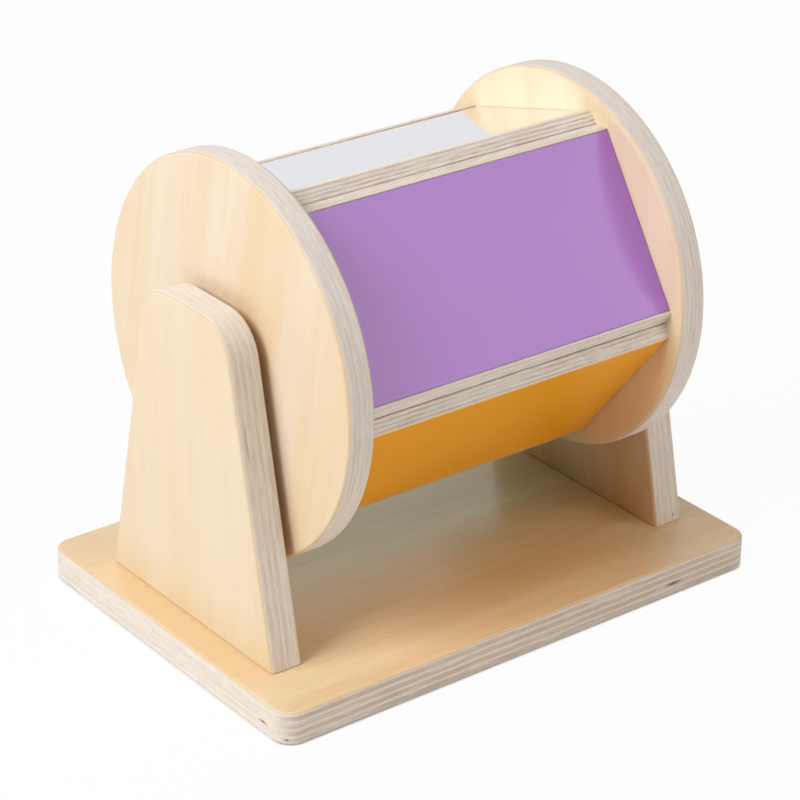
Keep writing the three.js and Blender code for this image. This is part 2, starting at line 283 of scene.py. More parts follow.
def plywood(name, half_board, plies, edges, faces, lines, void_shades, ripe_and_shaded_end=None):
    """Lacquered birch plywood, with sizes in millimetres.

    Thin plies run along the grain and thicker ones, darker at their ends, across it.
    """
    half_pitch, share, skin = plies
    long_edge, end_edge, contrast = edges
    pale, ripe, back = faces
    material, at, way = new_finish(name)
    depth = at.part(2)
    line = depth + 0.7 * (at.noise(PLY_BEND, 2) - 0.5) + 0.5 * (at.noise(PLY_RIPPLE, 2) - 0.5)
    from_middle = at.math("PINGPONG", line, half_pitch)
    thin = from_middle.step((share + PLY_BLUR) * half_pitch, (share - PLY_BLUR) * half_pitch)
    end_grain = 0.2 * thin * way.part(0) + (1 - thin) * way.part(1)
    worn = at.noise(PLY_WEAR, 2).step(0.25, 0.6)
    streaks = at.noise(LONG_STREAK, 3)
    flecks = at.noise(SHORT_STREAK, 3, waver=0.4)
    pores = at.noise(PORE, 2)
    dark = contrast * end_grain * (0.25 + 0.6 * worn) + 0.9 * streaks + 1.7 * flecks + 0.3 * pores - 1.35
    edge = dark.mix(long_edge, end_edge)
    outward = abs(depth)
    skin_line = outward.step(half_board - 1.3, half_board - 0.8)
    skin_line = skin_line * outward.step(half_board - 0.15, half_board - 0.5)
    broad = at.noise(BROAD_FIGURE, 2)
    narrow = at.noise(NARROW_FIGURE, 2)
    fine = at.noise(FINE_FIGURE, 2)
    figure = (broad * 0.65 + narrow * 0.25 + fine * 0.1).step(0.34, 0.66)
    # A ripe end is partly the veneer's golden figure and partly painted shade that tones down where the key
    # light falls strongest
    if ripe_and_shaded_end:
        ends = at.part(0).step(*ripe_and_shaded_end[0]) * at.part(1).step(*ripe_and_shaded_end[1])
        figure = figure.math("MAXIMUM", figure, ends)
    # Painted light and shade by side: below depth zero the veneer takes back, which on the uprights' inner
    # faces is a darker painted-shade copy; the other side takes pale, which on the discs' inner faces is a
    # warmer painted-light copy
    veneer = depth.step(-0.1, 0.1).mix(figure.mix(back, ripe), figure.mix(pale, ripe))
    drawn = at.noise(DRAWN_LINE, 3, waver=0.8).step(0.45, 0.75)
    veneer = (lines * drawn).mix(veneer, GRAIN_LINE)
    face = outward.step(half_board - skin, half_board - skin / 3)
    colour = (SKIN_LINE_SHARE * skin_line).mix(face.mix(edge, veneer), SKIN_LINE)
    # Painted shade of the voids in the plies, darkest towards each void's middle
    for place, size, tone in void_shades:
        offset = at.add("ShaderNodeVectorMath", {"operation": "SUBTRACT"}, {0: at, 1: place})
        offset = at.add("ShaderNodeVectorMath", {"operation": "DIVIDE"}, {0: offset, 1: size})
        distance = at.add("ShaderNodeVectorMath", {"operation": "LENGTH"}, {0: offset}, 1)
        colour = (tone * (distance + pores - 0.5).step(1.1, 0.3)).mix(colour, VOID_SHADE)
    lacquered = outward.step(half_board - 0.4, half_board - 0.02)
    set_surface(material, {
        "Base Color": colour,
        "Roughness": EDGE_ROUGHNESS - FACE_SHINE * lacquered + 0.06 * fine,
        "Normal": (pores * (1 - face) + fine).bump(WOOD_RELIEF),
    })
    return material


BASE_PALE = (0.925, 0.74, 0.475, 1)
BASE_RIPE = (0.845, 0.607, 0.342, 1)
# Partly the veneer's golden figure and partly painted shade: a riper, darker tone at the base's left end, where
# the key light falls strongest
BASE_RIPE_AND_SHADED_END = ((-60, -125), (-92, -50))
BASE_LINES = 0.15
BASE_EDGE_CONTRAST = 1
# Spots of painted shade for the voids in the base's plies
BASE_VOID_SHADES = (                      # place, size and depth of tone
    ((91.5, -100, -1.7), (6.0, 8, 1.0), 1),
    ((-143, -83, -1.6), (8, 4.0, 0.8), 1),
    ((-139.6, -96.6, -5.4), (1.6, 1.6, 0.8), 1),
)

base_half = Vector((base_high.x, base_high.y))
base_corners = [Vector((sx * base_half.x, sy * base_half.y)) for sx, sy in QUARTERS]
upright_x = sum(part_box("right_upright")[i].x for i in (0, 1)) / 2
screw_places = [Vector((sx * upright_x, sy * SCREW_SPACING / 2)) for sx in (-1, 1) for sy in (-1, 1)]
half_base = base_thickness / 2
sink_depth = SCREW_SINK - SCREW_HOLE
screw_stages = [(SCREW_SINK, -half_base), (SCREW_HOLE, sink_depth - half_base), (SCREW_HOLE, half_base)]
base_blank = sawn(
    rounded_outline(base_corners, [BASE_CORNER] * 4, CORNER_STEPS),
    -half_base, half_base, EASED_EDGE, EDGE_BAND,
    [(place, screw_stages) for place in screw_places],
)
base_plywood = plywood(
    "base_plywood", half_base / MM, BASE_PLIES, (LONG_EDGE, END_EDGE, BASE_EDGE_CONTRAST),
    (BASE_PALE, BASE_RIPE, BASE_PALE), BASE_LINES, BASE_VOID_SHADES, BASE_RIPE_AND_SHADED_END,
)
finished(
    base_blank, "base", Matrix.Translation((0, 0, half_base)), Matrix.Scale(1 / MM, 4),
    base_plywood, "stand", "base_board",
)

# Uprights
# Two tapered posts of the same plywood with round shoulders, eased like the base and cut square at the foot.
# Each has a blind hole for the axle in its inner face, and is glued and screwed to the base from below.

UPRIGHT_TOP = 64 * MM
UPRIGHT_SHOULDER = 22 * MM
AXLE_HOLE = 6.3 * MM
AXLE_COVER = 5 * MM
PILOT_DEPTH = 23.6 * MM
FOOT_BROKEN_EDGE = 0.7 * MM
FOOT_OFFCUT = 3 * EASED_EDGE
POST_ALONG_SHEET = 400              # where each upright is cut from its sheet, in millimetres from the middle
POST_ACROSS_SHEET = 150
SIDES = {"left": -1, "right": 1}
ENDS = {"front": -1, "back": 1}
POST_PLIES = (1.9, 0.38, 1.5)
POST_LINES = 0.06
POST_PALE = (0.825, 0.688, 0.498, 1)
POST_RIPE = (0.805, 0.638, 0.412, 1)
# Painted shade: a darker, warmer copy of the veneer on the uprights' inner faces, which stand in shade beside
# the discs
POST_INNER_PAINTED_SHADE = (0.73, 0.475, 0.28, 1)
POST_EDGE_CONTRAST = 0.4
# Spots of painted shade for the voids in the uprights' plies
POST_VOID_SHADES = (
    ((-291, -193.5, 5.0), (13, 4, 0.6), 0.4),
    ((403.8, 83.8, 3.1), (1.2, 2, 0.8), 0.6),
)

# Turns what is sawn from the XY plane so that it stands in the YZ plane, with its thickness along X
STANDING = Matrix(((0, 0, 1, 0), (1, 0, 0, 0), (0, 1, 0, 0), (0, 0, 0, 1)))
# Grain up the standing piece, then across it, then through it
UP_GRAIN = Matrix(((0, 1, 0, 0), (1, 0, 0, 0), (0, 0, 1, 0), (0, 0, 0, MM))) * (1 / MM)

# Turns what is drilled along Z so that it goes up into the foot of a standing piece
INTO_FOOT = Matrix(((1, 0, 0, 0), (0, 0, 1, 0), (0, 1, 0, 0), (0, 0, 0, 1)))

spin = frame["joints"][0]
axle_centre = Vector(spin["pos_m"])
post_plywood = plywood(
    "post_plywood", half_base / MM, POST_PLIES, (LONG_EDGE, END_EDGE, POST_EDGE_CONTRAST),
    (POST_PALE, POST_RIPE, POST_INNER_PAINTED_SHADE), POST_LINES, POST_VOID_SHADES,
)


def further(grain, along, across):
    """The same grain, taken from another part of the sheet."""
    return Matrix.Translation((along, across, 0)) @ grain


for side, sign in SIDES.items():
    low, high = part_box(f"{side}_upright")
    half = (high.x - low.x) / 2
    foot = high.y
    height = high.z - low.z
    slope = (foot - UPRIGHT_TOP / 2) / height
    corners = [
        Vector((-foot - slope * FOOT_OFFCUT, -FOOT_OFFCUT)),
        Vector((foot + slope * FOOT_OFFCUT, -FOOT_OFFCUT)),
        Vector((UPRIGHT_TOP / 2, height)),
        Vector((-UPRIGHT_TOP / 2, height)),
    ]
    radii = [EASED_EDGE, EASED_EDGE, UPRIGHT_SHOULDER, UPRIGHT_SHOULDER]
    hole_centre = Vector((axle_centre.y, axle_centre.z - low.z))
    hole_stages = [(AXLE_HOLE, -sign * half), (AXLE_HOLE, sign * (half - AXLE_COVER))]
    outline = rounded_outline(corners, radii, CORNER_STEPS)
    post = sawn(outline, -half, half, EASED_EDGE, EDGE_BAND, [(hole_centre, hole_stages)])
    everything = post.verts[:] + post.edges[:] + post.faces[:]
    bmesh.ops.bisect_plane(post, geom=everything, plane_co=(0, 0, 0), plane_no=(0, -1, 0), clear_outer=True)
    everything = post.verts[:] + post.edges[:] + post.faces[:]
    bmesh.ops.bisect_plane(post, geom=everything, plane_co=(0, FOOT_BROKEN_EDGE, 0), plane_no=(0, 1, 0))
    for vert in post.verts:
        if vert.co.y < FOOT_BROKEN_EDGE / 2:
            vert.co.x *= 1 - FOOT_BROKEN_EDGE / foot
            vert.co.z *= 1 - FOOT_BROKEN_EDGE / half
    for way_to in ENDS.values():
        pilot_stages = [(SCREW_HOLE, 0), (SCREW_HOLE, PILOT_DEPTH)]
        first, last = drill(post, Vector((way_to * SCREW_SPACING / 2, 0)), pilot_stages)
        bmesh.ops.transform(post, matrix=INTO_FOOT, verts=first + last)
        post.faces.new(last)
    foot_edges = [edge for edge in post.edges if edge.is_boundary]
    bmesh.ops.triangle_fill(post, use_beauty=True, use_dissolve=False, edges=foot_edges)
    place = Matrix.Translation(((low.x + high.x) / 2, 0, low.z)) @ STANDING
    outer_up = Matrix.Scale(sign, 4, (0, 0, 1))
    finished(
        post, f"upright_{side}", place,
        further(outer_up @ UP_GRAIN, POST_ALONG_SHEET * sign, POST_ACROSS_SHEET * sign),
        post_plywood, "stand", f"{side}_upright",
    )

# Screws
# Four countersunk wood screws of zinc-plated steel with a cross recess. They come up through the base from
# below, two into the end grain of each upright's foot, and lie just below the underside.

SCREW_HEAD = 4 * MM
SCREW_SHANK = 2 * MM
SCREW_CORE = 1.55 * MM
SCREW_LENGTH = 40 * MM
SCREW_TIP = 5 * MM
SCREW_RECESSED = 0.5 * MM
THREAD_START = 14 * MM
THREAD_PITCH = 1.8 * MM
THREAD_STEPS = 24
THREAD_ROWS = 6                     # rings of points in one turn of the thread
RIDGE_SHARE = 0.5                   # share of the pitch that the ridge takes up at its foot
HEAD_EDGE = 0.1 * MM
TIP_RADIUS = 0.1 * MM
CROSS_MOUTH = (2.2 * MM, 0.55 * MM)     # reach and half width of the arms
CROSS_FLOOR = (1.1 * MM, 0.40 * MM)
CROSS_DEPTH = 1.8 * MM
ZINC = (0.66, 0.67, 0.69, 1)
ZINC_DULL = (0.50, 0.51, 0.54, 1)


def zinc_plating():
    """Bright zinc: a fine grain of duller spots on a pale metal."""
    material, at, _ = new_finish("zinc_plating")
    spots = at.noise((0.9, 0.9, 0.9), 3).step(0.35, 0.7)
    set_surface(material, {
        "Base Color": spots.mix(ZINC, ZINC_DULL),
        "Metallic": 1,
        "Roughness": 0.28 + 0.14 * spots,
    })
    return material


def cross(reach, half):
    """The outline of a cross recess, from the length and half width of its arms."""
    arm = [Vector((reach, -half)), Vector((reach, half)), Vector((half, half))]
    turns = [Matrix.Rotation(math.pi / 2 * k, 2) for k in range(4)]
    return [(turn @ point, Vector((0, 0))) for turn in turns for point in arm]


def screw_blank():
    bm = bmesh.new()
    around = circle(Vector((0, 0)), 1, THREAD_STEPS)
    neck = SCREW_HEAD - SCREW_SHANK
    profile = [
        (SCREW_HEAD - HEAD_EDGE, 0), (SCREW_HEAD, HEAD_EDGE),
        (SCREW_SHANK, neck), (SCREW_SHANK, THREAD_START),
    ]
    rings = []
    for radius, height in profile:
        rings.append([bm.verts.new((*(point * radius), height)) for point, _ in around])
    rows = round((SCREW_LENGTH - THREAD_START) / THREAD_PITCH * THREAD_ROWS)
    for row in range(1, rows + 1):
        height = THREAD_START + (SCREW_LENGTH - THREAD_START) * row / rows
        taper = min(1, (SCREW_LENGTH - height) / SCREW_TIP)
        verts = []
        for k, (point, _) in enumerate(around):
            phase = (height / THREAD_PITCH - k / THREAD_STEPS) % 1
            ridge = max(0, 1 - abs(phase - 0.5) / (RIDGE_SHARE / 2))
            radius = (SCREW_CORE + (SCREW_SHANK - SCREW_CORE) * ridge) * taper + TIP_RADIUS * (1 - taper)
            verts.append(bm.verts.new((*(point * radius), height)))
        rings.append(verts)
    wall(bm, rings)
    bm.faces.new(rings[-1])
    mouth = ring(bm, cross(*CROSS_MOUTH), 0, 0)
    floor_of_cross = ring(bm, cross(*CROSS_FLOOR), 0, CROSS_DEPTH)
    wall(bm, [mouth, floor_of_cross])
    close(bm, [floor_of_cross])
    close(bm, [rings[0], mouth])
    return bm


zinc = zinc_plating()
for side, sign in SIDES.items():
    for end, way_to in ENDS.items():
        place = Matrix.Translation((sign * upright_x, way_to * SCREW_SPACING / 2, SCREW_RECESSED))
        finished(
            screw_blank(), f"screw_{side}_{end}", place, Matrix.Scale(1 / MM, 4),
            zinc, "stand", f"{side}_{end}_screw",
        )

# Axle
# A beech rod, planed round and chamfered at both ends, that is glued into the blind holes of the uprights.
# It stands still, and the drum turns round it.

TURNED_STEPS = 48
ROD_CHAMFER = 1 * MM
BEECH_PALE = (0.76, 0.54, 0.33, 1)
BEECH_RIPE = (0.62, 0.40, 0.22, 1)
BEECH_FLECK = (0.40, 0.22, 0.11, 1)


def turned(profile, steps):
    """A solid turned on the lathe, from radii and heights along its axis."""
    bm = bmesh.new()
    rings = [ring(bm, circle(Vector((0, 0)), radius, steps), 0, height) for radius, height in profile]
    wall(bm, rings)
    bm.faces.new(rings[0])
    bm.faces.new(rings[-1])
    return bm


def beech():
    """Steamed beech: straight brownish grain with the short dark flecks of its rays."""
    material, at, way = new_finish("beech")
    streak = at.noise((0.02, 0.7, 0.7), 3)
    fleck = at.noise((0.25, 2.5, 2.5), 1).step(0.66, 0.74) * (1 - way.part(0))
    colour = streak.step(0.3, 0.7).mix(BEECH_PALE, BEECH_RIPE)
    set_surface(material, {
        "Base Color": (fleck * 0.6).mix(colour, BEECH_FLECK),
        "Roughness": 0.62 - 0.1 * fleck,
        "Normal": (streak + fleck).bump(0.03 * MM),
    })
    return material


beech_wood = beech()
axle_low, axle_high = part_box("axle")
axle_half = (axle_high.x - axle_low.x) / 2
axle_radius = (axle_high.z - axle_low.z) / 2
axle_profile = [
    (axle_radius - ROD_CHAMFER, -axle_half),
    (axle_radius, ROD_CHAMFER - axle_half),
    (axle_radius, axle_half - ROD_CHAMFER),
    (axle_radius - ROD_CHAMFER, axle_half),
]
# Grain along what is turned, then across it both ways
ALONG_GRAIN = Matrix.Scale(1 / MM, 4) @ STANDING
finished(
    turned(axle_profile, TURNED_STEPS), "axle_rod", Matrix.Translation(axle_centre) @ STANDING, ALONG_GRAIN,
    beech_wood, "stand", "axle",
)

# Spacers and bushes
# Off-white nylon, moulded with slightly rounded edges. Each disc has a flanged bush pressed into its bore from
# outside, and a loose washer on the axle keeps the flange away from the upright.

BUSH_BORE = 6.3 * MM
BUSH_BARREL = 9.3 * MM
FLANGE_THICKNESS = 1.5 * MM
MOULDED_EDGE = 0.3 * MM
MOULDED_STEPS = 3
NYLON_PALE = (0.80, 0.77, 0.69, 1)
NYLON_DEEP = (0.74, 0.70, 0.61, 1)


def nylon():
    material, at, _ = new_finish("nylon")
    cloud = at.noise((0.15, 0.15, 0.15), 2)
    grain = at.noise((3, 3, 3), 1)
    set_surface(material, {
        "Base Color": cloud.mix(NYLON_PALE, NYLON_DEEP),
        "Roughness": 0.38 + 0.12 * grain,
        "Normal": grain.bump(0.01 * MM),
    })
    return material


def tube(corners, radii, steps):
    """A hollow piece turned from a closed section, whose corners are given as radii and heights."""
    corners = [Vector(corner) for corner in corners]
    section = rounded_outline(corners, radii, MOULDED_STEPS)
    bm = bmesh.new()
    rings = [ring(bm, circle(Vector((0, 0)), point.x, steps), 0, point.y) for point, _ in section]
    wall(bm, [*rings, rings[0]])
    return bm


moulded_nylon = nylon()
for side, sign in SIDES.items():
    outward = Matrix.Rotation(0 if sign > 0 else math.pi, 4, "Z")
    low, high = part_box(f"{side}_spacer")
    half = (high.x - low.x) / 2
    flange = (high.z - low.z) / 2
    section = [(BUSH_BORE, -half), (flange, -half), (flange, half), (BUSH_BORE, half)]
    washer = tube(section, [MOULDED_EDGE] * 4, TURNED_STEPS)
    place = Matrix.Translation(((low.x + high.x) / 2, 0, axle_centre.z)) @ outward @ STANDING
    finished(washer, f"spacer_{side}", place, ALONG_GRAIN, moulded_nylon, "stand", f"{side}_spacer")
    low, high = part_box(f"{side}_bush")
    half = (high.x - low.x) / 2
    seat = half - FLANGE_THICKNESS
    barrel = [(BUSH_BORE, -half), (BUSH_BARREL, -half), (BUSH_BARREL, seat)]
    section = [*barrel, (flange, seat), (flange, half), (BUSH_BORE, half)]
    bush_edges = [MOULDED_EDGE] * len(section)
    bush_edges[len(barrel) - 1] = 0
    bush = tube(section, bush_edges, TURNED_STEPS)
    place = Matrix.Translation(((low.x + high.x) / 2, 0, axle_centre.z)) @ outward @ STANDING
    finished(bush, f"bush_{side}", place, ALONG_GRAIN, moulded_nylon, "drum", f"{side}_bush")

# End discs
# Two round plywood discs, sawn and eased like the base, that close the drum. Each has a bore for its bush and
# blind holes for ten glued dowels in its inner face, so that nothing shows on the outside.

DISC_STEPS = 160
DISC_THICKNESS = 14.5 * MM
DISC_BORE = 9.6 * MM
DISC_PLIES = (1.3, 0.38, 1.6)
DISC_LINES = 0.06
DISC_PALE = (0.83, 0.70, 0.54, 1)
# Painted light and shade: a warmer, yellower copy of the veneer on the discs' inner faces, for the warm light
# and shade that fall there
DISC_INNER_PAINTED_LIGHT = (0.875, 0.71, 0.495, 1)
DISC_RIPE = (0.808, 0.615, 0.385, 1)
GRAIN_LEAN = {"left": math.radians(11), "right": math.radians(-5)}
RIM_EDGE = (0.845, 0.775, 0.71, 1)
RIM_CONTRAST = 0.4
DISC_ALONG_SHEET = {"left": 600, "right": 1200}
DISC_ACROSS_SHEET = {"left": -200, "right": 200}
DOWEL_HOLE = 3.3 * MM
DOWEL_COVER = 6 * MM
DOWEL_SPACING = 56 * MM
DOWEL_APOTHEM = 66.781 * MM
FACES = ("mirror", "purple", "orange", "green", "blue")
FIRST_FACE_TURN = math.radians(-15.3)

face_turns = {face: FIRST_FACE_TURN + 2 * math.pi / len(FACES) * k for k, face in enumerate(FACES)}
dowel_places = []
for face_turn in face_turns.values():
    for way_to in ENDS.values():
        dowel_place = Vector((way_to * DOWEL_SPACING / 2, DOWEL_APOTHEM))
        dowel_places.append(Matrix.Rotation(face_turn, 2) @ dowel_place)
disc_plywood = plywood(
    "disc_plywood", DISC_THICKNESS / 2 / MM, DISC_PLIES, (RIM_EDGE, END_EDGE, RIM_CONTRAST),
    (DISC_INNER_PAINTED_LIGHT, DISC_RIPE, DISC_PALE), DISC_LINES, (),
)
for side, sign in SIDES.items():
    low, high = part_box(f"{side}_disc")
    half = (high.x - low.x) / 2
    radius = (high.z - low.z) / 2
    dowel_stages = [(DOWEL_HOLE, -sign * half), (DOWEL_HOLE, sign * (half - DOWEL_COVER))]
    holes = [(place, dowel_stages) for place in dowel_places]
    holes.append((Vector((0, 0)), [(DISC_BORE, -half), (DISC_BORE, half)]))
    disc = sawn(circle(Vector((0, 0)), radius, DISC_STEPS), -half, half, EASED_EDGE, EDGE_BAND, holes)
    place = Matrix.Translation(((low.x + high.x) / 2, 0, axle_centre.z)) @ STANDING
    leaning = Matrix.Rotation(GRAIN_LEAN[side], 4, "Z")
    inner_up = Matrix.Scale(-sign, 4, (0, 0, 1))
    finished(
        disc, f"disc_{side}", place,
        further(leaning @ inner_up @ UP_GRAIN, DISC_ALONG_SHEET[side], DISC_ACROSS_SHEET[side]),
        disc_plywood, "drum", f"{side}_disc",
    )

# Staves
# Five strips of plywood that make the drum's sides. Each is mitred along both edges, bevelled above the mitre
# and grooved for its facing, and is drilled at both ends for the dowels that hold it between the discs.

STAVE_THICKNESS = 14.5 * MM
STAVE_HALF_LENGTH = 90.5 * MM
DOWEL_IN_STAVE = 15 * MM
STAVE_GAP = 0.5 * MM
STAVE_PLIES = (0.9, 0.6, 0.4)
STAVE_LONG = (0.895, 0.83, 0.765, 1)
STAVE_END = (0.54, 0.41, 0.32, 1)
STAVE_PALE = (0.85, 0.77, 0.65, 1)
STAVE_RIPE = (0.83, 0.72, 0.58, 1)
STAVE_CONTRAST = 1.3
STAVE_ALONG_SHEET = 700             # from one stave to the next, in millimetres
STAVE_ACROSS_SHEET = 130
FACE_APOTHEM = 75.481 * MM
ROUND_OVER = 4 * MM
ARRIS = 0.4 * MM
MITRE = math.pi / len(FACES)
MIRROR_MARGIN = 4.2 * MM
MIRROR_GROOVE = 2.9 * MM
LAMINATE_MARGIN = 1.1 * MM
LAMINATE_GROOVE = 1.1 * MM

round_over_centre = FACE_APOTHEM - ROUND_OVER
face_half = (round_over_centre * math.sin(MITRE) - STAVE_GAP / 2 - ROUND_OVER) / math.cos(MITRE)
bevel_half = face_half + ROUND_OVER * math.cos(MITRE)
bevel_apothem = round_over_centre - ROUND_OVER * math.sin(MITRE)
stave_inner = FACE_APOTHEM - STAVE_THICKNESS
inner_half = (stave_inner * math.sin(MITRE) - STAVE_GAP / 2) / math.cos(MITRE)
grooves = {face: (face_half - LAMINATE_MARGIN, LAMINATE_GROOVE) for face in FACES}
grooves["mirror"] = (face_half - MIRROR_MARGIN, MIRROR_GROOVE)


def stave(groove_half, groove_depth):
    """A stave as it is sawn: its section across the drum, with its outer face up."""
    bevel = Vector((face_half, FACE_APOTHEM)) - Vector((bevel_half, bevel_apothem))
    edge = [Vector((inner_half, stave_inner)), Vector((bevel_half, bevel_apothem))]
    edge.append(Vector((face_half, FACE_APOTHEM)) - ARRIS * bevel.normalized())
    edge.append(Vector((face_half - ARRIS, FACE_APOTHEM)))
    edge.append(Vector((groove_half, FACE_APOTHEM)))
    edge.append(Vector((groove_half, FACE_APOTHEM - groove_depth)))
    edge += [Vector((-point.x, point.y)) for point in reversed(edge)]
    holes = []
    for end in SIDES.values():
        bottom = STAVE_HALF_LENGTH - DOWEL_IN_STAVE
        stages = [(DOWEL_HOLE, end * STAVE_HALF_LENGTH), (DOWEL_HOLE, end * bottom)]
        holes += [(Vector((way_to * DOWEL_SPACING / 2, DOWEL_APOTHEM)), stages) for way_to in ENDS.values()]
    section = [(point, Vector((0, 0))) for point in edge]
    return sawn(section, -STAVE_HALF_LENGTH, STAVE_HALF_LENGTH, 0, 0, holes)


stave_plywood = plywood(
    "stave_plywood", STAVE_THICKNESS / 2 / MM, STAVE_PLIES, (STAVE_LONG, STAVE_END, STAVE_CONTRAST),
    (STAVE_PALE, STAVE_RIPE, STAVE_PALE), DISC_LINES, (),
)
stave_middle = Matrix.Translation((0, 0, -(stave_inner + STAVE_THICKNESS / 2) / MM))
for k, (face, turn) in enumerate(face_turns.items()):
    finished(
        stave(*grooves[face]), f"stave_{face}",
        Matrix.Translation(axle_centre) @ Matrix.Rotation(turn, 4, "X") @ STANDING,
        further(stave_middle @ ALONG_GRAIN, STAVE_ALONG_SHEET * k, STAVE_ACROSS_SHEET * k),
        stave_plywood, "drum", f"{face}_stave",
    )

# Dowels
# Twenty fluted beech dowels, glued half into a disc and half into the end of a stave. The flutes let the glue
# out, and both ends are chamfered.

DOWEL_RADIUS = 3 * MM
DOWEL_CHAMFER = 0.8 * MM
DOWEL_FLUTES = 16
FLUTE_DEPTH = 0.25 * MM
FLUTE_STEPS = 3                     # points from one flute to the next
BLANK_SPREAD = 40                   # takes each dowel from another part of the rod


def dowel(half):
    bm = bmesh.new()
    profile = [
        (DOWEL_RADIUS - DOWEL_CHAMFER, -half), (DOWEL_RADIUS, DOWEL_CHAMFER - half),
        (DOWEL_RADIUS, half - DOWEL_CHAMFER), (DOWEL_RADIUS - DOWEL_CHAMFER, half),
    ]
    rings = []
    for radius, height in profile:
        around = circle(Vector((0, 0)), radius, FLUTE_STEPS * DOWEL_FLUTES)
        verts = ring(bm, around, 0, height)
        for vert in verts[::FLUTE_STEPS]:
            vert.co.xy *= 1 - FLUTE_DEPTH / radius
        rings.append(verts)
    wall(bm, rings)
    bm.faces.new(rings[0])
    bm.faces.new(rings[-1])
    return bm


for face, turn in face_turns.items():
    for side, sign in SIDES.items():
        for end, way_to in ENDS.items():
            node = f"{face}_{side}_{end}_dowel"
            low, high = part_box(node)
            middle = Matrix.Translation(((low.x + high.x) / 2, way_to * DOWEL_SPACING / 2, DOWEL_APOTHEM))
            finished(
                dowel((high.x - low.x) / 2), f"dowel_{face}_{side}_{end}",
                Matrix.Translation(axle_centre) @ Matrix.Rotation(turn, 4, "X") @ middle @ STANDING,
                further(ALONG_GRAIN, BLANK_SPREAD * low.y / MM, BLANK_SPREAD * low.z / MM),
                beech_wood, "drum", node,
            )

# Mirror
# A sheet of mirrored acrylic with polished edges, glued into the deep groove of its stave so that the wood
# around it stands a little higher. It is not quite flat, as such sheets are.

SHEET_GAP = 0.3 * MM
SHEET_EDGE = 0.12 * MM
SHEET_CORNER = 0.5 * MM
SHEET_CORNER_STEPS = 4
MIRROR_SHEET = 2 * MM
MIRROR_RECESS = 0.6 * MM
SILVER = (0.885, 0.89, 0.905, 1)
SILVER_DEEP = (0.87, 0.875, 0.89, 1)


def sheet(half_width, thickness):
    """A thin sheet cut to fit its groove, with its edges just broken."""
    half_length = STAVE_HALF_LENGTH - SHEET_GAP
    half_width -= SHEET_GAP
    corners = [Vector((sx * half_length, sy * half_width)) for sx, sy in QUARTERS]
    outline = rounded_outline(corners, [SHEET_CORNER] * 4, SHEET_CORNER_STEPS)
    return sawn(outline, -thickness / 2, thickness / 2, SHEET_EDGE, 0, [])


def mirror_acrylic():
    material, at, _ = new_finish("mirror_acrylic")
    swell = at.noise((0.02, 0.02, 0.02), 1)
    haze = at.noise((0.2, 0.2, 0.2), 2)
    set_surface(material, {
        "Base Color": haze.mix(SILVER, SILVER_DEEP),
        "Metallic": 1,
        "Roughness": 0.05 + 0.04 * haze,
        "Normal": swell.bump(0.05 * MM),
    })
    return material


def faced(face, thickness, recess):
    """Where a sheet lies: level with the face of its stave, or below it."""
    outward = Matrix.Translation((0, 0, FACE_APOTHEM - recess - thickness / 2))
    return Matrix.Translation(axle_centre) @ Matrix.Rotation(face_turns[face], 4, "X") @ outward


finished(
    sheet(grooves["mirror"][0], MIRROR_SHEET), "mirror", faced("mirror", MIRROR_SHEET, MIRROR_RECESS),
    Matrix.Scale(1 / MM, 4), mirror_acrylic(), "drum", "mirror_sheet",
)

# Coloured facings
# Sheets of smooth satin laminate, one colour each, glued level into the shallow grooves of the other staves.
# The press plate leaves a very fine, even texture on them.

LAMINATE = 0.8 * MM
PRESS_RELIEF = 0.0015 * MM
CLOUDED = 0.94                      # the darkest that the colour gets, as a share of it
FACING_COLOURS = {
    "purple": (0.445, 0.20, 0.66, 1),
    "orange": (1.0, 0.43, 0.013, 1),
    "green": (0.17, 0.42, 0.15, 1),
    "blue": (0.11, 0.28, 0.54, 1),
}


def satin_laminate(name, colour):
    material, at, _ = new_finish(name)
    cloud = at.noise((0.012, 0.012, 0.012), 2)
    press = at.noise((1.4, 1.4, 1.4), 2)
    deep = tuple(CLOUDED * part for part in colour[:3]) + (1,)
    set_surface(material, {
        "Base Color": cloud.mix(colour, deep),
        "Roughness": 0.23 + 0.04 * press,
        "Normal": press.bump(PRESS_RELIEF),
    })
    return material


for face, colour in FACING_COLOURS.items():
    finished(
        sheet(grooves[face][0], LAMINATE), f"facing_{face}", faced(face, LAMINATE, 0), Matrix.Scale(1 / MM, 4),
        satin_laminate(f"{face}_laminate", colour), "drum", f"{face}_facing",
    )

# Floor and studio
# A plain pale floor that looks white round the object and pale grey further off, as a paper backdrop does.
# The light is soft: a large panel on the left, weaker ones above, in front and behind.

FLOOR_SIZE = 12
FLOOR_COLOUR = (0.85, 0.85, 0.85, 1)
BACKDROP_COLOUR = (0.865, 0.87, 0.89, 1)
BACKDROP_START = 1.1
BACKDROP_END = 1.6
FLOOR_ROUGHNESS = 0.9
FLOOR_GLOW = 0.96                   # share of the floor that is plain white to the eye, the rest takes shadow
GLOW_START = BASE_CORNER - 1.5 * MM     # just inside the base's outline, measured from its corners' centres
GLOW_END = BASE_CORNER + 1 * MM
FLOOR_UNDER_BASE = 3.5 * MM         # the rest is open under the base, so that its underside can be seen
LIGHT_FROM_BELOW = 0.8
BELOW_HORIZON = (-0.02, -0.1)
LAMP_DISTANCE = 2.0
WHITE_LIGHT = (1, 1, 1)

